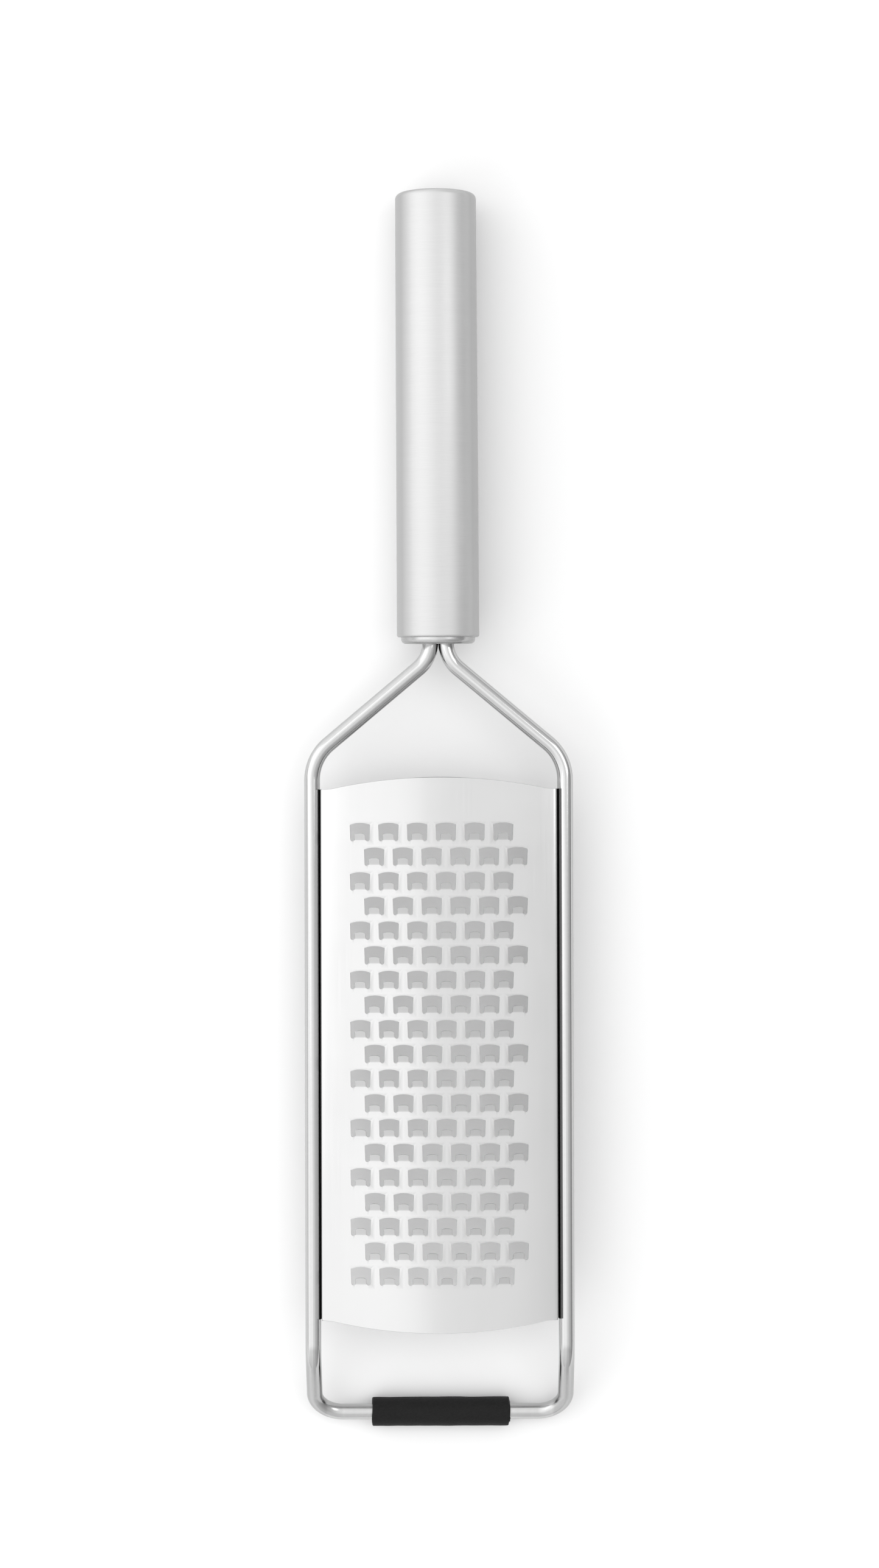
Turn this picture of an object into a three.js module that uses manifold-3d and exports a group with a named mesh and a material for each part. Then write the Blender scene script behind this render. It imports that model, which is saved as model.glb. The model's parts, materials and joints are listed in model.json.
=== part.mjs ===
// Hand grater: a frame bent from one steel rod carries an arched, toothed blade and a hollow handle.
// Lengths are millimetres. The pieces are built about the handle's axis, which runs along Y: y is 0 at
// the tube's lower end and grows towards its free end, and the blade faces +Z. The whole is then
// tilted to the way that it lies on a table.
import * as THREE from 'three';
import { mergeGeometries, mergeVertices } from 'three/addons/utils/BufferGeometryUtils.js';
import Module from 'manifold-3d';

// Handle tube and its caps
const handleDiameter = 22;
const handleLength = 118.5;
const handleWall = 1;
const handleRimRadius = 1.5;
const handleLip = 2.3; // the free end's turned-in edge, measured in from the outside
const endCapWall = 0.9;
const endCapSkirt = 7; // length of the cup's wall inside the tube
const neckCapWall = 0.9;
const neckCapHeight = 1.8; // stands out of the tube
const neckCapEdgeRadius = 1.3;
const neckCapSkirt = 9; // length of the cup's wall inside the tube
const spacerThickness = 2;
const spacerInset = 5; // from the ends of the rod's tails

// Rod frame
const wireDiameter = 4.2;
const frameWidth = 71.7; // over the outsides of the rails
const frameLength = 208.3; // from the tube's lower end to the middle of the foot bar
const tailGap = 0.46; // between the two tails
const tailLength = 36; // from the tube's lower end
const neckStraight = 0.6; // from the neck cap to the first bend
const neckBendRadius = 7;
const shoulderAngle = 50; // degrees between the handle's axis and the shoulders
const shoulderBendRadius = 12.5;
const footRun = 17.3; // along the axis, from the foot's crank to the foot bar
const footAngle = 40; // degrees that the foot turns down
const footBendRadius = 9;
const footCornerRadius = 7.5;

// Blade
const bladeThickness = 0.5;
const bladeEdgeHeight = 3; // edge of the arch over the middle of the rails
const bladeRise = 3.2; // crown of the arch over its edge
const bladeBendRadius = 1; // outside, from arch to flange
const flangeDrop = 0.9; // flange edge below the middle of the rails
const bladeHeadGap = 2.5; // straight rail between the shoulder and the blade's corners
const bladeFootGap = 6; // straight rail between the blade's corners and the foot's crank
const bladeEndBow = 3.1; // the ends are cut as arcs, this much longer in the middle
const bladeEndFlat = 2.2; // straight part of each end, beside the flange

// Teeth
const rowPitch = 6.54;
const columnPitch = 7.63;
const rowMargin = 9; // least distance from the first and last holes to the blade's corners
const rowShift = 0.3; // the rows stand this much nearer the handle than the middle of the blade
const columnMargin = 6.5; // least distance from the outermost holes to the flanges
const holeHeight = 4.9;
const holeWidthTop = 5.45;
const holeWidthFoot = 5.2;
const holeCrown = 0.55; // rise of the arched top
const tongueWidth = 3;
const tongueLength = 1.75;
const tongueAngle = 30; // degrees that a tongue stands up from the sheet
const tongueRoot = 0.5; // how far a tongue reaches back into the sheet
const tongueEdge = 0.12; // thickness left at the cutting edge
const tongueBevel = 0.9; // length of the ground bevel under the cutting edge

// Foot sleeve
const sleeveLength = 37.2;
const sleeveWall = 1.55;
const sleeveEdgeRadius = 0.5;
const sleeveShift = 0.4; // off the middle of the foot bar

// Clearances
const capGap = 0.25; // caps and spacer in the tube
const slotGap = 0.3; // rod in the slots of the neck cap and the spacer
const weldGap = 0.3; // flange to rail
const sleeveGap = 0.3; // sleeve on the foot bar
const cutPast = 1; // how far a cutting prism runs past what it cuts

// Facets
const roundSides = 40;
const wireSides = 12;
const sleeveSides = 24;
const bendStep = 10; // degrees of bend between the rod's rings
const archFacets = 8;
const bendFacets = 3;
const endFacets = 12;
const slotFacets = 6;
const edgeFacets = 4;

const { degToRad } = THREE.MathUtils;
const quarter = Math.PI / 2;
const handleRadius = handleDiameter / 2;
const boreRadius = handleRadius - handleWall;
const plugRadius = boreRadius - capGap;
const wireRadius = wireDiameter / 2;
const tailOffset = (wireDiameter + tailGap) / 2;
const railOffset = frameWidth / 2 - wireRadius;
const footDrop = footRun * Math.tan(degToRad(footAngle));
const sleeveRadius = wireRadius + sleeveGap + sleeveWall;
const bladeHalfWidth = railOffset - wireRadius - weldGap;

// Length of the tangent from a bend's corner to where the bend starts
const bendTangent = (radius, degrees) => radius * Math.tan(degToRad(degrees) / 2);

// The rod's corners along the handle's axis
const neckY = -(neckCapHeight + neckStraight + bendTangent(neckBendRadius, shoulderAngle));
const shoulderY = neckY - (railOffset - tailOffset) / Math.tan(degToRad(shoulderAngle));
const crankY = footRun - frameLength;
const bladeHeadY = shoulderY - bendTangent(shoulderBendRadius, shoulderAngle) - bladeHeadGap;
const bladeFootY = crankY + bendTangent(footBendRadius, footAngle) + bladeFootGap;

const wasm = await Module();
wasm.setup();

function solidOf(geometry) {
  const bare = geometry.clone();
  bare.deleteAttribute('normal');
  bare.deleteAttribute('uv');
  const welded = mergeVertices(bare);
  return new wasm.Manifold(new wasm.Mesh({
    numProp: 3,
    vertProperties: welded.attributes.position.array,
    triVerts: Uint32Array.from(welded.index.array),
  }));
}

function geometryOf(solid) {
  const { vertProperties, triVerts } = solid.getMesh();
  const geometry = new THREE.BufferGeometry();
  geometry.setAttribute('position', new THREE.BufferAttribute(vertProperties, 3));
  geometry.setIndex(new THREE.BufferAttribute(triVerts, 1));
  geometry.computeVertexNormals();
  return geometry;
}

const at = (x, y) => new THREE.Vector2(x, y);

// Points of an arc from one angle to another, both ends included
function arcPoints(centre, radius, from, to, count) {
  return Array.from({ length: count + 1 }, (_, i) => {
    const angle = from + (to - from) * i / count;
    return at(centre.x + radius * Math.cos(angle), centre.y + radius * Math.sin(angle));
  });
}

// A solid of revolution about Y from a profile of (radius, y) points
const revolve = (profile, sides) => new THREE.LatheGeometry(profile, sides);

const extrude = (outline, depth) =>
  new THREE.ExtrudeGeometry(new THREE.Shape(outline), { depth, bevelEnabled: false });

// A prism of an (x, z) outline that runs along Y
const prismAlongY = (outline, fromY, toY) =>
  extrude(outline, toY - fromY).rotateX(quarter).translate(0, toY, 0);

function handleTube() {
  const lipRadius = handleRadius - handleLip;
  const rimCentre = at(handleRadius - handleRimRadius, handleLength - handleRimRadius);
  return revolve([
    at(boreRadius, 0),
    at(handleRadius, 0),
    ...arcPoints(rimCentre, handleRimRadius, 0, quarter, edgeFacets),
    at(lipRadius, handleLength),
    at(lipRadius, handleLength - handleWall),
    at(boreRadius, handleLength - handleWall),
    at(boreRadius, 0),
  ], roundSides);
}

// A drawn cup, closed towards the free end, with a face that fills the tube's turned-in edge
function endCap() {
  const faceRadius = handleRadius - handleLip - capGap;
  const shoulder = handleLength - handleWall - capGap;
  return revolve([
    at(0, shoulder - endCapWall),
    at(plugRadius - endCapWall, shoulder - endCapWall),
    at(plugRadius - endCapWall, shoulder - endCapSkirt),
    at(plugRadius, shoulder - endCapSkirt),
    at(plugRadius, shoulder),
    at(faceRadius, shoulder),
    at(faceRadius, handleLength),
    at(0, handleLength),
  ], roundSides);
}

// The round-ended slot that both tails pass through
function tailSlot(fromY, toY) {
  const radius = wireRadius + slotGap;
  const outline = [
    ...arcPoints(at(tailOffset, 0), radius, -quarter, quarter, slotFacets),
    ...arcPoints(at(-tailOffset, 0), radius, quarter, 3 * quarter, slotFacets),
  ];
  return solidOf(prismAlongY(outline, fromY - cutPast, toY + cutPast));
}

// A pressed cup in the tube's lower end, slotted for the rod
function neckCap() {
  const edgeCentre = at(plugRadius - neckCapEdgeRadius, neckCapEdgeRadius - neckCapHeight);
  const innerFace = neckCapWall - neckCapHeight;
  const cup = revolve([
    at(0, -neckCapHeight),
    ...arcPoints(edgeCentre, neckCapEdgeRadius, -quarter, 0, edgeFacets),
    at(plugRadius, neckCapSkirt),
    at(plugRadius - neckCapWall, neckCapSkirt),
    at(plugRadius - neckCapWall, innerFace),
    at(0, innerFace),
  ], roundSides);
  return geometryOf(solidOf(cup).subtract(tailSlot(-neckCapHeight, innerFace)));
}

// A disc inside the tube that keeps the ends of the tails in the middle
function tailSpacer() {
  const top = tailLength - spacerInset;
  const bottom = top - spacerThickness;
  const disc = revolve([at(0, bottom), at(plugRadius, bottom), at(plugRadius, top), at(0, top)], roundSides);
  return geometryOf(solidOf(disc).subtract(tailSlot(bottom, top)));
}

// A path of straight runs joined by round bends. Its stations are the ends of the runs and equal steps
// round each bend, so that a sweep spends its rings on the bends.
class BentRod extends THREE.Curve {
  constructor(corners) {
    super();
    this.stretches = [];
    let start = corners[0].point;
    for (let i = 1; i < corners.length - 1; i += 1) {
      const { point, radius } = corners[i];
      const arriving = point.clone().sub(corners[i - 1].point).normalize();
      const leaving = corners[i + 1].point.clone().sub(point).normalize();
      const turn = arriving.angleTo(leaving);
      const tangent = radius * Math.tan(turn / 2);
      const bendStart = point.clone().addScaledVector(arriving, -tangent);
      const axis = arriving.clone().cross(leaving).normalize();
      const centre = axis.clone().cross(arriving).multiplyScalar(radius).add(bendStart);
      this.addRun(start, bendStart);
      this.addBend(centre, bendStart, axis, turn);
      start = point.clone().addScaledVector(leaving, tangent);
    }
    this.addRun(start, corners[corners.length - 1].point);
  }

  addRun(from, to) {
    this.stretches.push((share) => from.clone().lerp(to, share));
  }

  addBend(centre, from, axis, turn) {
    const arm = from.clone().sub(centre);
    const count = Math.ceil(turn / degToRad(bendStep));
    for (let i = 0; i < count; i += 1) {
      this.stretches.push((share) => arm.clone().applyAxisAngle(axis, turn * (i + share) / count).add(centre));
    }
  }

  getUtoTmapping(share) {
    return share;
  }

  getPoint(share) {
    const place = share * this.stretches.length;
    const index = Math.min(Math.floor(place), this.stretches.length - 1);
    return this.stretches[index](place - index);
  }
}

function frameWire() {
  const half = [
    { point: new THREE.Vector3(tailOffset, tailLength, 0) },
    { point: new THREE.Vector3(tailOffset, neckY, 0), radius: neckBendRadius },
    { point: new THREE.Vector3(railOffset, shoulderY, 0), radius: shoulderBendRadius },
    { point: new THREE.Vector3(railOffset, crankY, 0), radius: footBendRadius },
    { point: new THREE.Vector3(railOffset, -frameLength, -footDrop), radius: footCornerRadius },
  ];
  const mirrored = half.map(({ point, radius }) => ({
    point: new THREE.Vector3(-point.x, point.y, point.z),
    radius,
  }));
  const path = new BentRod([...half, ...mirrored.reverse()]);
  const section = arcPoints(at(0, 0), wireRadius, 0, 2 * Math.PI, wireSides).slice(0, -1);
  return new THREE.ExtrudeGeometry(new THREE.Shape(section), {
    extrudePath: path,
    steps: path.stretches.length,
  });
}

// The arch is a circle through the crown and both edges; each flange bend is tangent to it.
const archRadius = (bladeHalfWidth ** 2 + bladeRise ** 2) / (2 * bladeRise);
const archCentre = at(0, bladeEdgeHeight + bladeRise - archRadius);

function bladeSection() {
  const bendX = bladeHalfWidth - bladeBendRadius;
  const bendReach = archRadius - bladeBendRadius;
  const bendZ = archCentre.y + Math.sqrt(bendReach ** 2 - bendX ** 2);
  const archStart = Math.acos(bendX / bendReach);
  const skin = (inset) => {
    const edge = bladeHalfWidth - inset;
    const bend = bladeBendRadius - inset;
    return [
      at(edge, -flangeDrop),
      ...arcPoints(at(bendX, bendZ), bend, 0, archStart, bendFacets),
      ...arcPoints(archCentre, archRadius - inset, archStart, Math.PI - archStart, archFacets).slice(1, -1),
      ...arcPoints(at(-bendX, bendZ), bend, Math.PI - archStart, Math.PI, bendFacets),
      at(-edge, -flangeDrop),
    ];
  };
  return [...skin(0), ...skin(bladeThickness).reverse()];
}

// The blade seen from above: straight beside the flanges, bowed between
function bladePlan() {
  const halfChord = bladeHalfWidth - bladeEndFlat;
  const bowRadius = (halfChord ** 2 + bladeEndBow ** 2) / (2 * bladeEndBow);
  const spread = Math.asin(halfChord / bowRadius);
  const headCentre = at(0, bladeHeadY + bladeEndBow - bowRadius);
  const footCentre = at(0, bladeFootY - bladeEndBow + bowRadius);
  return [
    at(bladeHalfWidth + cutPast, bladeHeadY),
    ...arcPoints(headCentre, bowRadius, quarter - spread, quarter + spread, endFacets),
    at(-bladeHalfWidth - cutPast, bladeHeadY),
    at(-bladeHalfWidth - cutPast, bladeFootY),
    ...arcPoints(footCentre, bowRadius, 3 * quarter - spread, 3 * quarter + spread, endFacets),
    at(bladeHalfWidth + cutPast, bladeFootY),
  ];
}

const legWidth = (holeWidthFoot - tongueWidth) / 2;
const rootLine = legWidth / 2; // where a tongue leaves the sheet, above the bottoms of the hole's legs

// A tooth's hole: an arched top, and a leg down each side of the tongue
function holeOutline() {
  const arch = (share) => at(share * holeWidthTop / 2, holeHeight - holeCrown * share ** 2);
  const legMiddle = (holeWidthFoot - legWidth) / 2;
  return [
    ...[1, 0.4, -0.4, -1].map(arch),
    at(-holeWidthFoot / 2, rootLine),
    at(-legMiddle, 0),
    at(-tongueWidth / 2, rootLine),
    at(tongueWidth / 2, rootLine),
    at(legMiddle, 0),
    at(holeWidthFoot / 2, rootLine),
  ];
}

// A tongue from the side, as (along the sheet, above the sheet): rooted in the sheet, with the cutting
// edge ground from below
function tongueOutline() {
  const angle = degToRad(tongueAngle);
  const along = at(Math.cos(angle), Math.sin(angle));
  const below = at(Math.sin(angle), -Math.cos(angle));
  const onTop = (length) => at(rootLine, 0).addScaledVector(along, length);
  const inSheet = bladeThickness / 5;
  return [
    at(rootLine - tongueRoot, -inSheet),
    at(rootLine - tongueRoot, inSheet - bladeThickness),
    at(rootLine + bladeThickness / 2, inSheet - bladeThickness),
    onTop(tongueLength - tongueBevel).addScaledVector(below, bladeThickness),
    onTop(tongueLength).addScaledVector(below, tongueEdge),
    onTop(tongueLength),
  ];
}

// Places of the teeth: every other row is moved over by half a pitch
function toothPlaces() {
  const rowRoom = bladeHeadY - bladeFootY - 2 * rowMargin - holeHeight;
  const rows = Math.floor(rowRoom / rowPitch) + 1;
  const stagger = columnPitch / 2;
  const columnRoom = 2 * (bladeHalfWidth - columnMargin) - holeWidthTop - stagger;
  const columns = Math.floor(columnRoom / columnPitch) + 1;
  const middleY = (bladeHeadY + bladeFootY - holeHeight) / 2 + rowShift;
  const places = [];
  for (let row = 0; row < rows; row += 1) {
    const shift = row % 2 ? stagger / 2 : -stagger / 2;
    const y = middleY + ((rows - 1) / 2 - row) * rowPitch;
    for (let column = 0; column < columns; column += 1) {
      const across = (column - (columns - 1) / 2) * columnPitch + shift;
      places.push({ y, lean: across / archRadius });
    }
  }
  return places;
}

function graterBlade() {
  const sheet = solidOf(prismAlongY(bladeSection(), bladeFootY - bladeEndBow, bladeHeadY + bladeEndBow));
  const plan = extrude(bladePlan(), bladeEdgeHeight + bladeRise + flangeDrop + 2 * cutPast);
  const outline = solidOf(plan.translate(0, 0, -flangeDrop - cutPast));
  const hole = extrude(holeOutline(), bladeThickness + 2 * cutPast).translate(0, 0, -bladeThickness - cutPast);
  const tongue = extrude(tongueOutline(), tongueWidth).translate(0, 0, -tongueWidth / 2);
  const holes = [];
  const tongues = [];
  const along = new THREE.Vector3(0, 1, 0);
  for (const { y, lean } of toothPlaces()) {
    const out = new THREE.Vector3(Math.sin(lean), 0, Math.cos(lean));
    const across = along.clone().cross(out);
    const place = new THREE.Vector3(0, y, archCentre.y).addScaledVector(out, archRadius);
    const holeFrame = new THREE.Matrix4().makeBasis(across, along, out).setPosition(place);
    const tongueFrame = new THREE.Matrix4().makeBasis(along, out, across).setPosition(place);
    holes.push(hole.clone().applyMatrix4(holeFrame));
    tongues.push(tongue.clone().applyMatrix4(tongueFrame));
  }
  const cut = sheet.intersect(outline).subtract(solidOf(mergeGeometries(holes)));
  return geometryOf(cut.add(solidOf(mergeGeometries(tongues))));
}

function footSleeve() {
  const half = sleeveLength / 2;
  const bore = wireRadius + sleeveGap;
  const round = sleeveEdgeRadius;
  const tube = revolve([
    at(bore, -half),
    ...arcPoints(at(sleeveRadius - round, round - half), round, -quarter, 0, edgeFacets),
    ...arcPoints(at(sleeveRadius - round, half - round), round, 0, quarter, edgeFacets),
    at(bore, half),
    at(bore, -half),
  ], sleeveSides);
  return tube.rotateZ(-quarter).translate(sleeveShift, -frameLength, -footDrop);
}

// On a table the grater stands on the rim of the handle's free end and on the sleeve: the tilt puts both
// of these rounds on one level.
function restTilt() {
  const rim = at(handleLength - handleRimRadius, handleRimRadius - handleRadius);
  const reach = rim.x + frameLength;
  const rise = rim.y + footDrop;
  return Math.asin((handleRimRadius - sleeveRadius) / Math.hypot(reach, rise)) - Math.atan2(rise, reach);
}

const metal = (color, roughness) => new THREE.MeshStandardMaterial({ color, roughness, metalness: 1 });
const brushedSteel = metal(0xc4c5c6, 0.38);
const polishedSteel = metal(0xd4d5d6, 0.12);
const satinSteel = metal(0xd0d1d2, 0.3);
const blackRubber = new THREE.MeshStandardMaterial({ color: 0x1c1c1d, roughness: 0.75, metalness: 0 });

const tilted = new THREE.Group();
tilted.rotation.x = restTilt();

function addPiece(name, geometry, material) {
  const mesh = new THREE.Mesh(geometry, material);
  mesh.name = name;
  tilted.add(mesh);
}

addPiece('handle_tube', handleTube(), brushedSteel);
addPiece('end_cap', endCap(), brushedSteel);
addPiece('neck_cap', neckCap(), brushedSteel);
addPiece('tail_spacer', tailSpacer(), satinSteel);
addPiece('frame_wire', frameWire(), polishedSteel);
addPiece('grater_blade', graterBlade(), satinSteel);
addPiece('foot_sleeve', footSleeve(), blackRubber);

// The origin is in the middle of the space that the grater takes up on the table.
const grater = new THREE.Group();
grater.add(tilted);
const box = new THREE.Box3().setFromObject(grater, true);
const middle = box.getCenter(new THREE.Vector3());
tilted.position.set(-middle.x, -middle.y, -box.min.z);

export default grater;
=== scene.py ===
import json
import math

import bmesh
import bpy
from mathutils import Matrix, Vector, noise


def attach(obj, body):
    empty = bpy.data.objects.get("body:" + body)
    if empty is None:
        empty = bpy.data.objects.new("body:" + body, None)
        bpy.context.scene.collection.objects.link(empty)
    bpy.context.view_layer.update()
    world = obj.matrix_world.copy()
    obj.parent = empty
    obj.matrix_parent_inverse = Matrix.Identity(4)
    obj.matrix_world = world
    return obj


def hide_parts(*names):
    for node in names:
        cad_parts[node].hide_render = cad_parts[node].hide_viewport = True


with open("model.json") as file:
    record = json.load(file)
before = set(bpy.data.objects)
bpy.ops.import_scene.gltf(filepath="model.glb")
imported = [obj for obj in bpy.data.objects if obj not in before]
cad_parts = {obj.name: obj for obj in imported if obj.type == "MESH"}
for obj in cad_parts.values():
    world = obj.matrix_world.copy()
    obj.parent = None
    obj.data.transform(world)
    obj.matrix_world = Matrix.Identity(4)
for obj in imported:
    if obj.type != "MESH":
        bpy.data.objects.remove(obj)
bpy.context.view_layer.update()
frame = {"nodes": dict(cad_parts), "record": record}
print("frame loaded")

mm = 0.001
quarterTurn = math.pi / 2
mergeWithin = 1e-4  # vertices nearer than this are one

# sizes are in millimetres, about the handle's axis: y is 0 at the tube's lower end, the blade faces +z
handle = {
    "radius": 11.0, "length": 118.5, "wall": 1.0, "rim": 1.5, "lip": 2.3, "lipBreak": 0.1,
    "mouthBreak": 0.18, "mouthRound": 0.6, "mouthSlant": 0.042, "slantDepth": 1.0, "taper": 0.018,
    "steps": 128, "rimSteps": 10, "mouthSteps": 6,
}
endFace = next(m for m in frame["record"]["mounts"] if m["name"] == "handle_end")
alongHandle = Vector(endFace["axis"]).normalized()
acrossHandle = Vector((1, 0, 0))
lie = Matrix((acrossHandle, alongHandle, acrossHandle.cross(alongHandle))).transposed().to_4x4()
lie.translation = Vector(endFace["pos_m"]) - alongHandle * handle["length"] * mm
tableTilt = math.asin(alongHandle.z)


# shader values: python maths on a Value adds Math nodes
class Value:
    def __init__(self, tree, socket):
        self.tree = tree
        self.socket = socket

    def maths(self, operation, first, second):
        node = self.tree.nodes.new("ShaderNodeMath")
        node.operation = operation
        for entry, given in zip(node.inputs, (first, second)):
            setInput(self.tree, entry, given)
        return Value(self.tree, node.outputs[0])

    def __add__(self, other):
        return self.maths("ADD", self, other)

    def __radd__(self, other):
        return self.maths("ADD", other, self)

    def __sub__(self, other):
        return self.maths("SUBTRACT", self, other)

    def __rsub__(self, other):
        return self.maths("SUBTRACT", other, self)

    def __mul__(self, other):
        return self.maths("MULTIPLY", self, other)

    def __rmul__(self, other):
        return self.maths("MULTIPLY", other, self)

    def __truediv__(self, other):
        return self.maths("DIVIDE", self, other)

    def __rtruediv__(self, other):
        return self.maths("DIVIDE", other, self)

    def __pow__(self, other):
        return self.maths("POWER", self, other)

    def __rpow__(self, other):
        return self.maths("POWER", other, self)


def setInput(tree, entry, given):
    if isinstance(given, Value):
        tree.links.new(given.socket, entry)
    else:
        entry.default_value = given


class Finish:
    def __init__(self, name, owner=None):
        self.owner = owner or bpy.data.materials.new(name)
        self.owner.use_nodes = True
        self.tree = self.owner.node_tree
        self.tree.nodes.clear()

    def add(self, kind, settings=None, inputs=None, out=0):
        node = self.tree.nodes.new(kind)
        for key, value in (settings or {}).items():
            if key == "stops":
                self.setStops(node.color_ramp, value)
            else:
                setattr(node, key, value)
        for key, given in (inputs or {}).items():
            setInput(self.tree, node.inputs[key], given)
        return Value(self.tree, node.outputs[out]) if node.outputs else None

    def setStops(self, ramp, stops):
        while len(ramp.elements) < len(stops):
            ramp.elements.new(1.0)
        for element, (place, grey) in zip(ramp.elements, stops):
            element.position = place
            element.color = (grey, grey, grey, 1)

    # object coordinates in millimetres about the handle's axis
    def place(self, stretch=(1, 1, 1)):
        coords = self.add("ShaderNodeTexCoord", out="Object")
        level = self.add("ShaderNodeMapping", {"vector_type": "POINT"}, {
            "Vector": coords, "Rotation": (-tableTilt, 0, 0), "Scale": (1 / mm, 1 / mm, 1 / mm),
            "Location": tuple(lie.to_3x3().transposed() @ lie.translation / -mm),
        })
        return self.add("ShaderNodeMapping", {"vector_type": "POINT"}, {"Vector": level, "Scale": stretch})

    def axis(self, letter):
        return self.add("ShaderNodeSeparateXYZ", None, {"Vector": self.place()}, out=letter)

    # 0 below the first value, 1 above the second
    def step(self, value, low, high):
        return self.add("ShaderNodeMapRange", {"interpolation_type": "SMOOTHSTEP"}, {
            "Value": value, "From Min": low, "From Max": high, "To Min": 0.0, "To Max": 1.0,
        })

    # the same for a distance either way from the middle plane
    def beyond(self, value, low, high):
        return self.step(value * value, low ** 2, high ** 2)

    def grain(self, stretch, scale=1.0, detail=2.0, roughness=0.5):
        return self.add("ShaderNodeTexNoise", {"noise_dimensions": "3D"}, {
            "Vector": self.place(stretch), "Scale": scale, "Detail": detail, "Roughness": roughness,
        })

    def ramp(self, value, *stops):
        return self.add("ShaderNodeValToRGB", {"stops": stops}, {"Fac": value})

    def mixGrey(self, factor, low, high):
        return self.add("ShaderNodeMix", {"data_type": "RGBA"}, {
            "Factor": factor, 6: (low, low, low, 1), 7: (high, high, high, 1),
        }, out=2)

    # a grey laid over a tone where the factor is 1
    def blend(self, factor, tone, grey):
        return self.add("ShaderNodeMix", {"data_type": "RGBA"}, {
            "Factor": factor, 6: tone, 7: (grey, grey, grey, 1),
        }, out=2)

    # how far a surface turns away from facing up, as layPiece marks it: the steel finishes darken their
    # colour by it, as painted shade
    def sides(self):
        return self.add("ShaderNodeAttribute", {"attribute_name": "sides"}, out="Fac")

    def bump(self, height, strength, distance):
        return self.add("ShaderNodeBump", None, {
            "Height": height, "Strength": strength, "Distance": distance * mm,
        })

    def shade(self, **inputs):
        surface = self.add("ShaderNodeBsdfPrincipled", None, {
            key.replace("_", " "): given for key, given in inputs.items()
        })
        self.add("ShaderNodeOutputMaterial", None, {"Surface": surface})
        return self.owner


def brushedHandleSteel():
    f = Finish("brushedHandleSteel")
    hairs = f.grain((0.22, 9.0, 0.22), 1.0, 3.0, 0.6)      # hair lines that run round the tube
    lines = f.step(hairs, 0.25, 0.75)
    bands = f.grain((0.02, 0.9, 0.02), 1.0, 2.0)           # broader strokes of the brush
    smears = f.grain((0.05, 0.03, 0.05), 1.0, 2.0)         # faint handling marks
    tone = lines * 0.45 + bands * 0.2 + smears * 0.35
    return f.shade(
        # painted shade: the sides and underside are darkened toward grey
        Base_Color=f.blend(f.sides() * 0.55, f.mixGrey(tone, 0.67, 0.77), 0.33),
        Metallic=1.0,
        Roughness=0.42 + lines * 0.08 + smears * 0.10,
        Normal=f.bump(lines * 0.8 + bands * 0.2, 0.22, 0.012),
    )


def pressedCapSteel():
    f = Finish("pressedCapSteel")
    lines = f.grain((0.3, 6.0, 0.3), 1.0, 3.0)
    tone = lines * 0.6 + f.grain((0.2, 0.2, 0.2)) * 0.4
    return f.shade(
        # painted shade: the sides and underside are darkened toward grey
        Base_Color=f.blend(f.sides() * 0.6, f.mixGrey(tone, 0.56, 0.70), 0.27),
        Metallic=1.0,
        Roughness=0.22 + lines * 0.12,
        Normal=f.bump(lines, 0.25, 0.01),
    )


# where the rod's finish and its painted shade change: x is counted both ways from the middle
rodMarks = {
    "scuffedZ": (-5.0, -0.5), "legLength": 4.0, "legX": (30.0, 31.0), "weldX": (31.5, 33.2),
    "weldSpread": (0.5, 5.0), "gapShadeSpread": (0.03, 0.4), "gapShadeY": (-6.0, -4.0),
    "innerShadeInward": (1.5, 2.0), "innerShadeAbove": (2, 7),
}


def polishedRodSteel():
    f = Finish("polishedRodSteel")
    m = rodMarks
    drawn = f.grain((1.2, 0.05, 1.2), 1.0, 3.0)            # faint lines left by drawing the rod
    specks = f.grain((0.8, 0.8, 0.8), 1.0, 3.0)
    scuffs = f.grain((2.2, 2.2, 2.2), 1.0, 4.0, 0.65)
    x = f.axis("X")
    y = f.axis("Y")
    z = f.axis("Z")
    foot = 1 - f.step(z, *m["scuffedZ"])                   # the crank at the foot is scuffed
    legs = f.step(crankY - y, 0.0, m["legLength"]) * f.beyond(x, *m["legX"])  # and its two legs are darker
    welds = sum(1 - f.step((y - place) * (y - place), *m["weldSpread"]) for place in rod["welds"])
    welds = welds * (1 - f.beyond(x, *m["weldX"]))         # burnt spots on the rails, toward the blade
    paintedGapShade = 1 - f.step(x * x, *m["gapShadeSpread"])           # painted shade where the two ends lie together
    paintedGapShade = paintedGapShade * f.step(y, *m["gapShadeY"])
    slope = math.radians(rod["shoulderAngle"])
    inward = (tailOffset - (x * x) ** 0.5) * math.cos(slope) + (neckY - y) * math.sin(slope)
    innerShadeFrom, innerShadeFull = m["innerShadeAbove"]
    paintedInnerShade = f.step(inward, *m["innerShadeInward"])                # painted shade on the inner side of the shoulders
    paintedInnerShade = paintedInnerShade * f.step(y, shoulderY + innerShadeFrom, shoulderY + innerShadeFull)
    # painted shade in the gap and on the inner shoulders, real burn marks at the welds, and darker legs
    dark = paintedGapShade * 0.9 + welds * 0.25 + paintedInnerShade * 0.55 + legs * 0.14
    # painted shade: the sides and underside of the rod are darkened toward grey
    steel = f.blend(f.sides() * 0.6, f.mixGrey(drawn * 0.5 + specks * 0.5, 0.64, 0.72), 0.36)
    return f.shade(
        Base_Color=f.blend(dark, steel, 0.05),
        Metallic=1.0,
        Roughness=0.07 + drawn * 0.05 + specks * 0.04 + foot * (0.08 + scuffs * 0.10) + welds * 0.15,
        Normal=f.bump(drawn * 0.6 + specks * 0.4 + foot * scuffs * 0.8 + welds * 0.6, 0.12, 0.02),
    )


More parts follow.
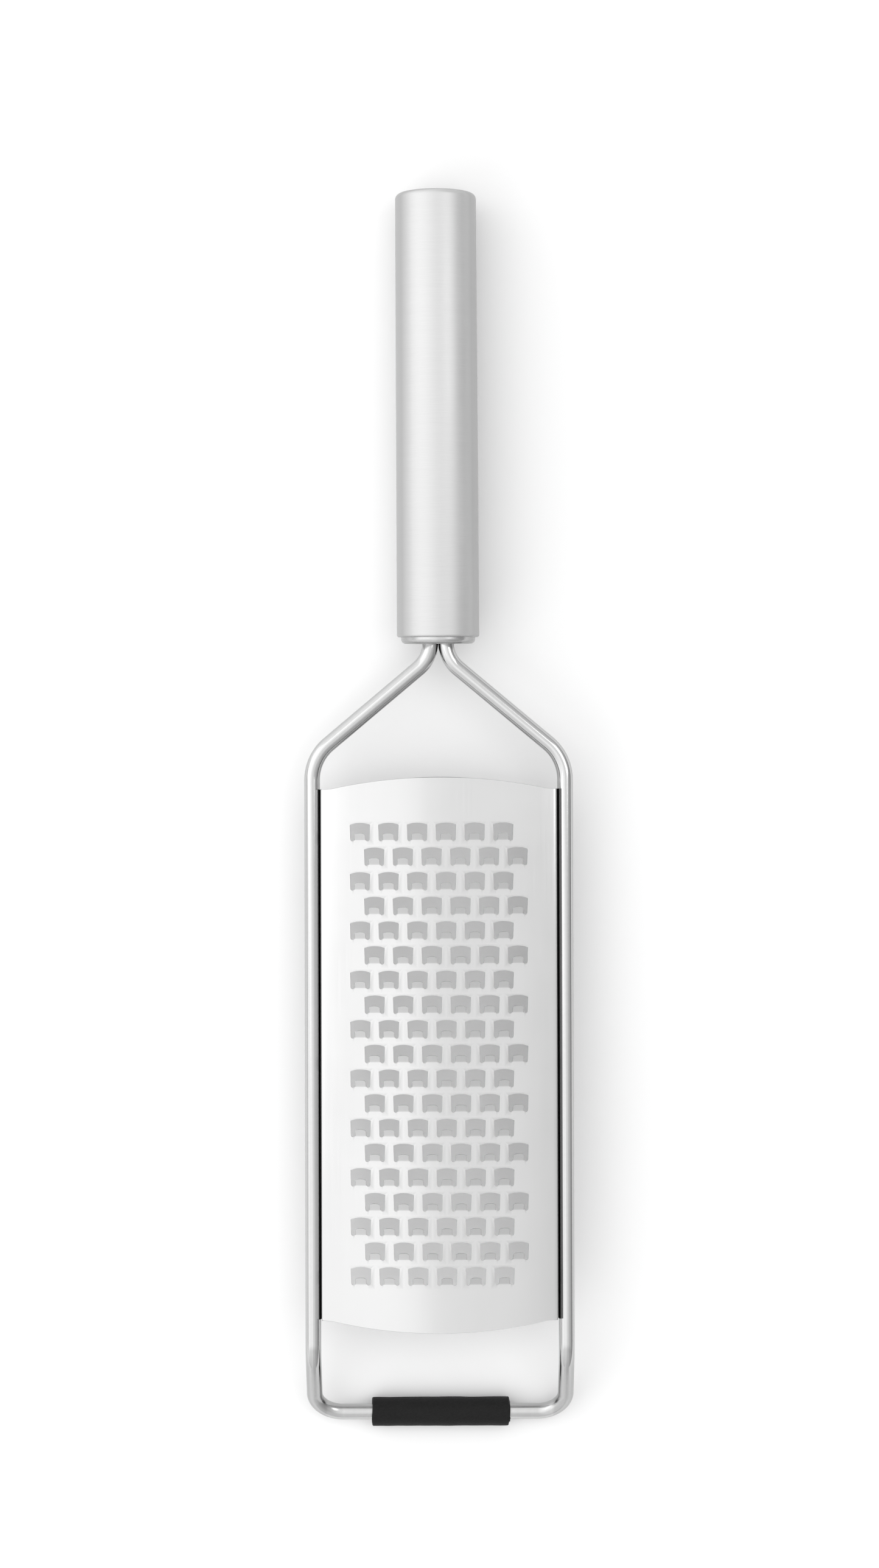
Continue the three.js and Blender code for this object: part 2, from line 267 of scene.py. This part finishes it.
def satinBladeSteel():
    f = Finish("satinBladeSteel")
    rolled = f.grain((1.6, 0.04, 1.6), 1.0, 3.0)           # rolling lines along the sheet
    clouds = f.grain((0.06, 0.06, 0.06), 1.0, 2.0)
    outward = f.axis("X") * f.axis("X") / halfWidth ** 2
    flange = 1 - f.step(f.axis("Z"), 0.8, 1.6)
    paintedCreviceShade = f.step(outward, 0.975, 0.982) * flange         # painted shade on the flanges, in the crevice along the rails
    # painted shade: parts of the sheet turned away from up are darkened toward grey
    steel = f.blend(f.sides() * 0.6, f.mixGrey(rolled * 0.4 + clouds * 0.6, 0.71, 0.78), 0.25)
    return f.shade(
        Base_Color=f.blend(paintedCreviceShade, steel, 0.01),
        Metallic=1.0,
        Roughness=0.12 + rolled * 0.07 + clouds * 0.05 + paintedCreviceShade * 0.4,
        Normal=f.bump(rolled, 0.10, 0.008),
    )


def plainInnerSteel():
    f = Finish("plainInnerSteel")
    spots = f.grain((0.5, 0.5, 0.5), 1.0, 3.0)
    return f.shade(
        Base_Color=f.mixGrey(spots, 0.42, 0.55),
        Metallic=1.0,
        Roughness=0.40 + spots * 0.15,
    )


def blackSleeveRubber():
    f = Finish("blackSleeveRubber")
    skin = f.step(f.grain((2.2, 2.2, 2.2), 1.0, 4.0, 0.65), 0.3, 0.7)  # fine moulded skin
    dust = f.grain((0.25, 0.5, 0.5), 1.0, 3.0)             # where the bloom has rubbed off
    return f.shade(
        Base_Color=f.mixGrey(dust * 0.5 + skin * 0.5, 0.001, 0.016),
        Metallic=0.0,
        Roughness=0.50 + dust * 0.20 + skin * 0.16,
        Specular_IOR_Level=0.25,
        Normal=f.bump(skin, 0.55, 0.08),
    )


def whiteTable():
    f = Finish("whiteTable")
    haze = f.grain((0.003, 0.003, 0.003))
    seen = f.add("ShaderNodeLightPath", out="Is Camera Ray")
    mirrored = f.add("ShaderNodeLightPath", out="Is Glossy Ray")
    passed = f.add("ShaderNodeLightPath", out="Is Transmission Ray")
    unseen = (1 - seen) * (1 - mirrored) * (1 - passed)
    white = 0.94 + haze * 0.02                             # as it is seen: the light it gives is greyer
    tone = (1 - unseen) * white + unseen * 0.55
    return f.shade(
        Base_Color=tone,
        Metallic=0.0,
        Roughness=0.75,
        Emission_Color=(1 - unseen) * 0.02,
        Emission_Strength=1.0,
    )


upright = {"top": 0.80, "side": 0.52}


# 0 where a surface faces up, 1 where it faces sideways or down: the steel finishes darken their colour
# there, as painted shade on the sides and underside
def markPaintedSideShade(mesh):
    marks = mesh.attributes.new("sides", "FLOAT", "POINT")
    for mark, normal in zip(marks.data, mesh.vertex_normals):
        away = (upright["top"] - normal.vector.z) / (upright["top"] - upright["side"])
        mark.value = min(1.0, max(0.0, away))


askew = {"neck": 0.25}


# the handle isn't quite in line with the frame: both run a hair to the right at the neck
def setAskew(bm):
    for v in bm.verts:
        reach = handle["length"] if v.co.y > 0 else rod["frameLength"]
        v.co.x += askew["neck"] * (1 - abs(v.co.y) / reach)


# a piece is made in millimetres about the handle's axis, then laid on the table
def layPiece(name, bm, material, node, sharpDegrees=40):
    setAskew(bm)
    bmesh.ops.transform(bm, matrix=lie @ Matrix.Scale(mm, 4), verts=bm.verts)
    mesh = bpy.data.meshes.new(name)
    bm.to_mesh(mesh)
    bm.free()
    mesh.shade_smooth()
    mesh.set_sharp_from_angle(angle=math.radians(sharpDegrees))
    mesh.materials.append(material)
    markPaintedSideShade(mesh)
    piece = bpy.data.objects.new(name, mesh)
    bpy.context.scene.collection.objects.link(piece)
    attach(piece, "root")
    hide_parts(node)
    print(name, len(mesh.polygons), "faces")


def arc(centreX, centreY, radius, fromAngle, toAngle, steps):
    angles = [fromAngle + (toAngle - fromAngle) * i / steps for i in range(steps + 1)]
    return [(centreX + radius * math.cos(a), centreY + radius * math.sin(a)) for a in angles]


# spins a profile of (radius, y) points about the handle's axis
def turned(profile, steps, ring=False):
    bm = bmesh.new()
    verts = [bm.verts.new((r, y, 0)) for r, y in profile]
    edges = [bm.edges.new(pair) for pair in zip(verts, verts[1:])]
    if ring:
        edges.append(bm.edges.new((verts[-1], verts[0])))
    bmesh.ops.spin(
        bm, geom=verts + edges, cent=(0, 0, 0), axis=(0, 1, 0), angle=2 * math.pi,
        steps=steps, use_merge=True, use_duplicate=False,
    )
    bmesh.ops.remove_doubles(bm, verts=bm.verts, dist=mergeWithin)
    bmesh.ops.dissolve_degenerate(bm, dist=mergeWithin / 10, edges=bm.edges)
    bmesh.ops.recalc_face_normals(bm, faces=bm.faces)
    return bm


# extrudes edges on the spot, and gives the new vertices and the new edges between them
def extruded(bm, edges):
    made = bmesh.ops.extrude_edge_only(bm, edges=edges)["geom"]
    verts = [g for g in made if isinstance(g, bmesh.types.BMVert)]
    fresh = set(verts)
    return verts, [g for g in made if isinstance(g, bmesh.types.BMEdge) and fresh.issuperset(g.verts)]


bore = handle["radius"] - handle["wall"]


# the tube is drawn in a little toward its free end, and the cap there with it
def drawnIn(bm):
    for v in bm.verts:
        slim = 1 - handle["taper"] * max(0.0, v.co.y) / handle["length"]
        v.co.x *= slim
        v.co.z *= slim
    return bm


# the tube's mouth and the cap in it lean a little toward the frame at the top
def slanted(bm, below):
    for v in bm.verts:
        if v.co.y < below:
            v.co.y -= handle["mouthSlant"] * v.co.z
    return bm


def makeHandle(material):
    h = handle
    outer = h["radius"]
    top = h["length"]
    lip = outer - h["lip"]
    mouth = h["mouthRound"]
    profile = [(bore + h["mouthBreak"], 0)]
    profile += arc(outer - mouth, mouth, mouth, -quarterTurn, 0, h["mouthSteps"])
    profile += arc(outer - h["rim"], top - h["rim"], h["rim"], 0, quarterTurn, h["rimSteps"])
    profile += [(lip + h["lipBreak"], top), (lip, top - h["lipBreak"]), (lip, top - h["wall"])]
    profile += [(bore, top - h["wall"]), (bore, h["mouthBreak"])]
    bm = drawnIn(turned(profile, h["steps"], True))
    layPiece("handleTube", slanted(bm, h["slantDepth"]), material, "handle_tube")


endCap = {"gap": 0.12, "wall": 0.9, "skirt": 7.0, "edge": 0.1}


def makeEndCap(material):
    c = endCap
    face = handle["radius"] - handle["lip"] - c["gap"]
    plug = bore - c["gap"]
    top = handle["length"]
    shoulder = top - handle["wall"] - c["gap"]
    profile = [
        (0, shoulder - c["wall"]), (plug - c["wall"], shoulder - c["wall"]),
        (plug - c["wall"], shoulder - c["skirt"]), (plug, shoulder - c["skirt"]), (plug, shoulder),
        (face, shoulder), (face, top - c["edge"]), (face - c["edge"], top), (0, top),
    ]
    layPiece("endCap", drawnIn(turned(profile, handle["steps"])), material, "end_cap")


rod = {
    "radius": 2.1, "frameWidth": 71.7, "frameLength": 208.5, "tailGap": 0.02, "tailLength": 36.0,
    "neckStraight": -0.333, "neckBend": 9.0, "shoulderAngle": 50.0, "shoulderBend": 12.5,
    "footRun": 17.5, "footAngle": 39.81, "footBend": 9.0, "footCorner": 7.5,
    "welds": (-53.5, -113.5, -170.5), "sides": 32, "stepDegrees": 2.5,
}
neckCap = {
    "gap": 0.12, "wall": 0.9, "height": 1.8, "edge": 1.3, "skirt": 9.0, "slotGap": 0.12, "mouth": 5.4,
    "edgeSteps": 10, "slantDepth": 20.0,
}
tailOffset = rod["radius"] + rod["tailGap"] / 2
railOffset = rod["frameWidth"] / 2 - rod["radius"]


# distance from the middle of the round-ended slot to its edge, in one direction
def slotReach(angle, slotRadius):
    side = slotRadius / max(abs(math.sin(angle)), 1e-6)
    if abs(side * math.cos(angle)) <= tailOffset:
        return side
    overhang = math.sqrt(slotRadius ** 2 - (tailOffset * math.sin(angle)) ** 2)
    return tailOffset * abs(math.cos(angle)) + overhang


def makeNeckCap(material):
    c = neckCap
    plug = bore - c["gap"]
    inner = c["wall"] - c["height"]
    profile = [(c["mouth"], -c["height"])]
    profile += arc(plug - c["edge"], c["edge"] - c["height"], c["edge"], -quarterTurn, 0, c["edgeSteps"])
    profile += [(plug, c["skirt"]), (plug - c["wall"], c["skirt"])]
    profile += [(plug - c["wall"], inner), (c["mouth"], inner)]
    bm = turned(profile, handle["steps"], True)
    for v in bm.verts:                                     # the round mouth is drawn in to the slot
        if math.hypot(v.co.x, v.co.z) < c["mouth"] + mergeWithin:
            angle = math.atan2(v.co.z, v.co.x)
            reach = slotReach(angle, rod["radius"] + c["slotGap"])
            v.co.x = reach * math.cos(angle)
            v.co.z = reach * math.sin(angle)
    layPiece("neckCap", slanted(bm, c["slantDepth"]), material, "neck_cap")


# the rod is bent as in the workshop: extruded along each run, spun round each bend
def bendRod(corners, radius, sides, stepDegrees):
    bm = bmesh.new()
    place = Vector(corners[0][0])
    heading = (Vector(corners[1][0]) - place).normalized()
    bmesh.ops.create_circle(
        bm, cap_ends=True, radius=radius, segments=sides,
        matrix=Matrix.Translation(place) @ heading.to_track_quat("Z", "X").to_matrix().to_4x4(),
    )
    ring = list(bm.edges)

    def runTo(point):
        verts, edges = extruded(bm, ring)
        bmesh.ops.translate(bm, verts=verts, vec=point - place)
        return edges

    for (corner, bend), (following, _) in zip(corners[1:-1], corners[2:]):
        corner = Vector(corner)
        leaving = (Vector(following) - corner).normalized()
        turn = heading.angle(leaving)
        tangent = bend * math.tan(turn / 2)
        axis = heading.cross(leaving).normalized()
        start = corner - heading * tangent
        ring = runTo(start)
        spun = bmesh.ops.spin(
            bm, geom=ring, cent=start + axis.cross(heading) * bend, axis=axis, angle=turn,
            steps=math.ceil(math.degrees(turn) / stepDegrees), use_merge=False, use_duplicate=False,
        )
        ring = [g for g in spun["geom_last"] if isinstance(g, bmesh.types.BMEdge)]
        place = corner + leaving * tangent
        heading = leaving
    ring = runTo(Vector(corners[-1][0]))
    bmesh.ops.contextual_create(bm, geom=ring)
    bmesh.ops.remove_doubles(bm, verts=bm.verts, dist=mergeWithin)
    bmesh.ops.recalc_face_normals(bm, faces=bm.faces)
    return bm


def bendTangent(radius, degrees):
    return radius * math.tan(math.radians(degrees) / 2)


neckY = -(neckCap["height"] + rod["neckStraight"] + bendTangent(rod["neckBend"], rod["shoulderAngle"]))
shoulderY = neckY - (railOffset - tailOffset) / math.tan(math.radians(rod["shoulderAngle"]))
crankY = rod["footRun"] - rod["frameLength"]
footDrop = rod["footRun"] * math.tan(math.radians(rod["footAngle"]))


def makeRod(material):
    half = [
        ((tailOffset, rod["tailLength"], 0), 0),
        ((tailOffset, neckY, 0), rod["neckBend"]),
        ((railOffset, shoulderY, 0), rod["shoulderBend"]),
        ((railOffset, crankY, 0), rod["footBend"]),
        ((railOffset, -rod["frameLength"], -footDrop), rod["footCorner"]),
    ]
    other = [((-x, y, z), bend) for (x, y, z), bend in reversed(half)]
    bm = bendRod(half + other, rod["radius"], rod["sides"], rod["stepDegrees"])
    layPiece("frameRod", bm, material, "frame_wire")


blade = {
    "thickness": 0.5, "edgeHeight": 3.0, "rise": 3.2, "bend": 0.45, "flangeDrop": 0.9, "flare": 0.3,
    "weldGap": 0.25, "headGap": 2.5, "footGap": 6.0, "endBow": 3.1, "endFlat": 2.2, "endBreak": 0.12,
    "endNear": 0.05, "endTurn": 1.0, "bendSteps": 6, "endRows": 4, "sharpDegrees": 32,
}
teeth = {
    "rows": 19, "columns": 6, "rowPitch": 6.54, "columnPitch": 7.63, "holeHeight": 4.9, "headShift": 0.30,
    "widthTop": 5.45, "widthFoot": 5.2, "crown": 0.55, "crownPower": 2.4, "legSteps": 6,
    "tongueWidth": 3.0, "tongueAngle": 30.0, "tongueSteps": (0.22, 0.22, 0.22, 0.22, 0.22, 1.05),
    "rootDip": 0.4, "liftFrom": 0.6, "liftOver": 2.6, "tipRound": 0.45, "tipPower": 3.5, "tipEdge": 0.12,
    "tipHeight": 0.44, "tipBehind": (0.1, 0.5),
}
toothArch = (1, 0.9, 0.6, 0.3, 0, -0.3, -0.6, -0.9, -1)  # shares of the hole's half width
toothRoot = (-0.96, -0.88, -0.64, -0.32, 0, 0.32, 0.64, 0.88, 0.96)  # and of the tongue's
halfWidth = railOffset - rod["radius"] - blade["weldGap"]
headY = shoulderY - bendTangent(rod["shoulderBend"], rod["shoulderAngle"]) - blade["headGap"]
footY = crankY + bendTangent(rod["footBend"], rod["footAngle"]) + blade["footGap"]
archRadius = (halfWidth ** 2 + blade["rise"] ** 2) / (2 * blade["rise"])
archCentreZ = blade["edgeHeight"] + blade["rise"] - archRadius
bendX = halfWidth - blade["bend"]
bendReach = archRadius - blade["bend"]
archHalfAngle = math.asin(bendX / bendReach)


# one tooth's patch of flat sheet, about the middle of its hole: the hole, and the tongue that rises from it
def toothPatch():
    t = teeth
    bm = bmesh.new()
    halfPitch = t["columnPitch"] / 2
    halfRow = t["rowPitch"] / 2
    low = t["headShift"] - t["holeHeight"] / 2
    high = t["headShift"] + t["holeHeight"] / 2
    leg = (t["widthFoot"] - t["tongueWidth"]) / 2
    legX = (t["widthFoot"] - leg) / 2
    rootY = low + leg / 2
    frameLine = [(-halfPitch + halfPitch * i / 2, -halfRow) for i in range(4)]
    frameLine += [(halfPitch, -halfRow)]
    frameLine += [(halfPitch - halfPitch * i / 2, halfRow) for i in range(5)]
    arch = []
    for part in toothArch:
        arch.append((part * t["widthTop"] / 2, high - t["crown"] * abs(part) ** t["crownPower"]))
    legLeft = arc(-legX, rootY, leg / 2, math.pi, 2 * math.pi, t["legSteps"])
    legRight = arc(legX, rootY, leg / 2, math.pi, 2 * math.pi, t["legSteps"])
    root = [(t["tongueWidth"] / 2 * part, rootY - t["rootDip"]) for part in toothRoot]
    holeLine = arch + legLeft + root + legRight

    def loop(points):
        verts = [bm.verts.new((x, y, 0)) for x, y in points]
        return verts, [bm.edges.new(pair) for pair in zip(verts, verts[1:] + verts[:1])]

    _, frameEdges = loop(frameLine)
    holeVerts, holeEdges = loop(holeLine)
    bmesh.ops.triangle_fill(
        bm, use_beauty=True, use_dissolve=False, normal=(0, 0, 1), edges=frameEdges + holeEdges,
    )
    bmesh.ops.recalc_face_normals(bm, faces=bm.faces)
    if sum(face.normal.z for face in bm.faces) < 0:
        bmesh.ops.reverse_faces(bm, faces=bm.faces)
    first = len(arch) + len(legLeft)
    rootVerts = set(holeVerts[first:first + len(root)])
    edges = [e for e in holeEdges if rootVerts.issuperset(e.verts)]
    full = math.radians(t["tongueAngle"])
    for i, step in enumerate(t["tongueSteps"]):
        lift = full * min(1.0, (i + t["liftFrom"]) / t["liftOver"])  # bent up smoothly from its root
        verts, edges = extruded(bm, edges)
        bmesh.ops.translate(bm, verts=verts, vec=(0, step * math.cos(lift), step * math.sin(lift)))
    for v in verts:                                        # the tip's corners are rounded off
        back = t["tipRound"] * abs(2 * v.co.x / t["tongueWidth"]) ** t["tipPower"]
        v.co.y -= back * math.cos(full)
        v.co.z -= back * math.sin(full)
    mesh = bpy.data.meshes.new("toothPatch")
    bm.to_mesh(mesh)
    bm.free()
    return mesh


def toothPlaces():
    t = teeth
    middle = (headY + footY) / 2
    places = []
    for row in range(t["rows"]):
        shift = t["columnPitch"] / 4 * (1 if row % 2 else -1)
        y = middle + ((t["rows"] - 1) / 2 - row) * t["rowPitch"]
        for column in range(t["columns"]):
            places.append(((column - (t["columns"] - 1) / 2) * t["columnPitch"] + shift, y))
    return places


# how much longer the blade is at a distance from its middle line than at its corners
def endBow(x):
    halfChord = halfWidth - blade["endFlat"]
    radius = (halfChord ** 2 + blade["endBow"] ** 2) / (2 * blade["endBow"])
    if abs(x) >= halfChord:
        return 0.0
    return blade["endBow"] - radius + math.sqrt(radius ** 2 - x ** 2)


# the flat sheet: a grid with a tooth's patch in place of each hole's faces
def flatSheet():
    t = teeth
    quarterPitch = t["columnPitch"] / 4
    columns = int(archRadius * archHalfAngle / quarterPitch)
    rows = t["rows"] + 2 * blade["endRows"]
    middle = (headY + footY) / 2
    toothReach = t["rows"] * t["rowPitch"] / 2
    bm = bmesh.new()
    bmesh.ops.create_grid(bm, x_segments=2 * columns, y_segments=rows, size=1)
    for v in bm.verts:
        x = v.co.x * columns * quarterPitch
        row = (v.co.y + 1) / 2 * rows - rows / 2
        beyond = (abs(row) - t["rows"] / 2) / blade["endRows"]
        if beyond > 0:
            side = 1 if row > 0 else -1
            end = (headY - footY) / 2 + endBow(x)
            y = middle + side * (toothReach + (end - toothReach) * beyond)
        else:
            y = middle + row * t["rowPitch"]
        v.co = (x, y, 0)
    places = toothPlaces()
    hidden = []
    for face in bm.faces:
        centre = face.calc_center_median()
        for x, y in places:
            if abs(centre.x - x) < t["columnPitch"] / 2 and abs(centre.y - y) < t["rowPitch"] / 2:
                hidden.append(face)
                break
    bmesh.ops.delete(bm, geom=hidden, context="FACES")
    patch = toothPatch()
    for x, y in places:
        before = set(bm.verts)
        bm.from_mesh(patch)
        bmesh.ops.translate(bm, verts=[v for v in bm.verts if v not in before], vec=(x, y, 0))
    bpy.data.meshes.remove(patch)
    bmesh.ops.remove_doubles(bm, verts=bm.verts, dist=mergeWithin * 10)
    return bm, columns * quarterPitch


# how far a vertex stands above the sheet's upper face
def aboveSheet(v):
    return math.hypot(v.co.x, v.co.z - archCentreZ) - archRadius


# whether a vertex lies on one of the blade's two bowed ends
def atEnd(v):
    x = archRadius * math.atan2(v.co.x, v.co.z - archCentreZ)
    reach = (headY - footY) / 2 + endBow(x)
    return abs(abs(v.co.y - (headY + footY) / 2) - reach) < blade["endNear"]


def makeBlade(material):
    b = blade
    bm, reach = flatSheet()
    for v in bm.verts:                                     # rolled to the arch
        angle = v.co.x / archRadius
        out = archRadius + v.co.z
        v.co.x = out * math.sin(angle)
        v.co.z = archCentreZ + out * math.cos(angle)
    bendZ = archCentreZ + bendReach * math.cos(archHalfAngle)
    gridX = archRadius * math.sin(reach / archRadius)

    def onRim(e, side):
        return e.is_boundary and all(abs(v.co.x - side * gridX) < mergeWithin * 10 for v in e.verts)

    for side in (1, -1):                                   # each side runs on to its bend and turns down
        verts, edges = extruded(bm, [e for e in bm.edges if onRim(e, side)])
        for v in verts:
            v.co.x = side * archRadius * math.sin(archHalfAngle)
            v.co.z = archCentreZ + archRadius * math.cos(archHalfAngle)
        spun = bmesh.ops.spin(
            bm, geom=edges, cent=(side * bendX, 0, bendZ), axis=(0, side, 0),
            angle=quarterTurn - archHalfAngle, steps=b["bendSteps"], use_merge=False, use_duplicate=False,
        )
        edges = [g for g in spun["geom_last"] if isinstance(g, bmesh.types.BMEdge)]
        verts, edges = extruded(bm, edges)
        bmesh.ops.translate(bm, verts=verts, vec=(0, 0, -bendZ))
        verts, edges = extruded(bm, edges)
        bmesh.ops.translate(bm, verts=verts, vec=(side * b["flare"], 0, -b["flangeDrop"]))
    bmesh.ops.remove_doubles(bm, verts=bm.verts, dist=mergeWithin)
    bmesh.ops.recalc_face_normals(bm, faces=bm.faces)
    if sum(face.normal.z for face in bm.faces) < 0:
        bmesh.ops.reverse_faces(bm, faces=bm.faces)
    bmesh.ops.solidify(bm, geom=bm.faces, thickness=b["thickness"])
    bmesh.ops.recalc_face_normals(bm, faces=bm.faces)
    near, far = teeth["tipBehind"]
    for e in bm.edges:                                     # each tongue's tip is ground thin from below
        lower, upper = sorted(e.verts, key=aboveSheet)
        if aboveSheet(upper) > teeth["tipHeight"] and upper.co.y + near < lower.co.y < upper.co.y + far:
            lower.co = upper.co.lerp(lower.co, teeth["tipEdge"] / b["thickness"])
    ends = [e for e in bm.edges if all(map(atEnd, e.verts)) and e.calc_face_angle(0) > b["endTurn"]]
    bmesh.ops.bevel(
        bm, geom=ends, offset=b["endBreak"], offset_type="OFFSET", affect="EDGES",
        segments=1, profile=0.5, material=-1,
    )
    layPiece("graterBlade", bm, material, "grater_blade", b["sharpDegrees"])


sleeve = {
    "radius": 3.88, "length": 37.2, "shift": 0.25, "gap": 0.08, "edge": 0.40, "skin": 0.2,
    "wobble": 0.10, "wobbleScale": (0.22, 0.5), "wobbleSeed": 3.0,
    "cutWander": 0.22, "cutSeeds": (2.0, 7.0), "cutFade": 12,
    "stepMiddle": 0.1, "stepBeyond": 0.6, "stepRight": 0.5, "stepLeft": 0.3,
    "rings": 60, "steps": 96, "edgeSteps": 5,
}


def makeSleeve(material):
    s = sleeve
    half = s["length"] / 2
    inner = rod["radius"] + s["gap"]
    flat = half - s["edge"]
    profile = [(inner, -half)]
    profile += arc(s["radius"] - s["edge"], -flat, s["edge"], -quarterTurn, 0, s["edgeSteps"])
    profile += [(s["radius"], -flat + 2 * flat * i / s["rings"]) for i in range(1, s["rings"])]
    profile += arc(s["radius"] - s["edge"], flat, s["edge"], 0, quarterTurn, s["edgeSteps"])
    profile += [(inner, half)]
    bm = turned(profile, s["steps"], True)
    scaleY, scaleAround = s["wobbleScale"]
    for v in bm.verts:                                     # soft tube: cut by hand, a little uneven
        around = math.atan2(v.co.z, v.co.x)
        radius = math.hypot(v.co.x, v.co.z)
        if radius > inner + s["skin"]:
            ripple = noise.noise((v.co.y * scaleY, around * scaleAround, s["wobbleSeed"]))
            swell = 1 + s["wobble"] / s["radius"] * ripple
            lower = max(0.0, -math.sin(around))            # it lies flat where it meets the table
            swell = 1 + (swell - 1) * (1 - lower)
            v.co.x *= swell
            v.co.z *= swell
        seed = s["cutSeeds"][0 if v.co.y > 0 else 1]       # each end is cut differently
        wander = s["cutWander"] * noise.noise((math.cos(around), math.sin(around), seed))
        if v.co.y > 0 and abs(v.co.x - s["stepMiddle"]) > s["stepBeyond"] * s["radius"]:
            wander -= s["stepRight"] if v.co.x > 0 else s["stepLeft"]
        v.co.y += wander * (abs(v.co.y) / half) ** s["cutFade"]
    bmesh.ops.rotate(bm, verts=bm.verts, cent=(0, 0, 0), matrix=Matrix.Rotation(-quarterTurn, 3, "Z"))
    bmesh.ops.translate(bm, verts=bm.verts, vec=(s["shift"], -rod["frameLength"], -footDrop))
    layPiece("footSleeve", bm, material, "foot_sleeve")


makeHandle(brushedHandleSteel())
makeEndCap(brushedHandleSteel())
makeNeckCap(pressedCapSteel())
makeRod(polishedRodSteel())
makeBlade(satinBladeSteel())
makeSleeve(blackSleeveRubber())
spacer = frame["nodes"]["tail_spacer"]
spacer.data.materials.clear()
spacer.data.materials.append(plainInnerSteel())
print("pieces made")


tableHalfWidth = 4.0  # metres


def makeTable():
    bm = bmesh.new()
    bmesh.ops.create_grid(bm, x_segments=2, y_segments=2, size=tableHalfWidth)
    mesh = bpy.data.meshes.new("table")
    bm.to_mesh(mesh)
    bm.free()
    mesh.materials.append(whiteTable())
    table = bpy.data.objects.new("table", mesh)
    bpy.context.scene.collection.objects.link(table)


# soft room light by the direction it comes from: across from left to right, along from foot to handle
roomLight = {
    "strength": 1.50,
    "across": (
        (0.00, 0.45), (0.03, 0.66), (0.07, 0.89), (0.15, 0.80), (0.29, 0.77), (0.36, 0.81),
        (0.42, 0.81), (0.465, 0.77), (0.48, 0.65), (0.50, 0.63), (0.56, 0.63), (0.64, 0.62),
        (0.70, 0.53), (0.76, 0.45), (0.86, 0.41), (0.92, 0.33), (0.97, 0.25), (1.00, 0.20),
    ),
    "alongStrength": 1.30,
    "along": (
        (0.00, 0.54), (0.10, 0.56), (0.27, 0.59), (0.38, 0.77), (0.60, 0.80), (0.80, 0.74), (1.00, 0.60),
    ),
}


def makeRoom():
    r = roomLight
    world = bpy.data.worlds.new("softRoom")
    bpy.context.scene.world = world
    f = Finish("softRoom", world)
    direction = f.add("ShaderNodeTexCoord", out="Generated")
    sideways = f.add("ShaderNodeSeparateXYZ", None, {"Vector": direction}, out="X")
    lengthways = f.add("ShaderNodeSeparateXYZ", None, {"Vector": direction}, out="Y")
    across = f.ramp(sideways * 0.5 + 0.5, *r["across"])
    along = f.ramp(lengthways * 0.5 + 0.5, *r["along"]) * r["alongStrength"]
    glow = f.add("ShaderNodeBackground", None, {"Color": across, "Strength": along * r["strength"]})
    f.add("ShaderNodeOutputWorld", None, {"Surface": glow})


# a box that isn't on the steel lights only dull surfaces, one that isn't on the table only gloss
softboxes = {
    "mainSoftbox": {"place": (-0.85, 0.35, 0.85), "size": (0.8, 1.2), "power": 0.9},
    "fillSoftbox": {"place": (0.64, 0.32, 0.87), "size": (0.5, 0.5), "power": 1.3, "onTable": False},
    "frontSoftbox": {"place": (-0.75, -0.60, 0.70), "size": (0.9, 0.9), "power": 2.5, "onSteel": False},
    "topSoftbox": {"place": (0.35, 0.10, 1.10), "size": (0.8, 0.8), "power": 2.2, "onSteel": False},
}


def makeSoftboxes():
    for name, box in softboxes.items():
        light = bpy.data.lights.new(name, "AREA")
        light.shape = "RECTANGLE"
        light.size, light.size_y = box["size"]
        light.energy = box["power"]
        lamp = bpy.data.objects.new(name, light)
        lamp.location = box["place"]
        lamp.rotation_euler = (-Vector(box["place"])).to_track_quat("-Z", "Y").to_euler()
        lamp.visible_diffuse = box.get("onTable", True)
        lamp.visible_glossy = box.get("onSteel", True)
        bpy.context.scene.collection.objects.link(lamp)


# the photograph is taken from nearly straight above, 1444 x 2576 pixels, a little rolled
picture = {
    "height": 2576, "focalPixels": 6134.8, "place": (0.00046, 0.01814, 1.011),
    "tiltDegrees": -0.6, "rollDegrees": -0.2295, "sensor": 36.0,
}


def makeCamera():
    camera = bpy.data.cameras.new("overhead")
    camera.sensor_width = picture["sensor"]
    camera.lens = picture["sensor"] * picture["focalPixels"] / picture["height"]
    view = bpy.data.objects.new("overhead", camera)
    view.rotation_mode = "ZYX"
    view.rotation_euler = (math.radians(picture["tiltDegrees"]), 0, math.radians(picture["rollDegrees"]))
    view.location = picture["place"]
    bpy.context.scene.collection.objects.link(view)
    bpy.context.scene.camera = view


makeTable()
makeRoom()
makeSoftboxes()
makeCamera()
bpy.context.scene.view_settings.view_transform = "Standard"
print("table, light and camera set")
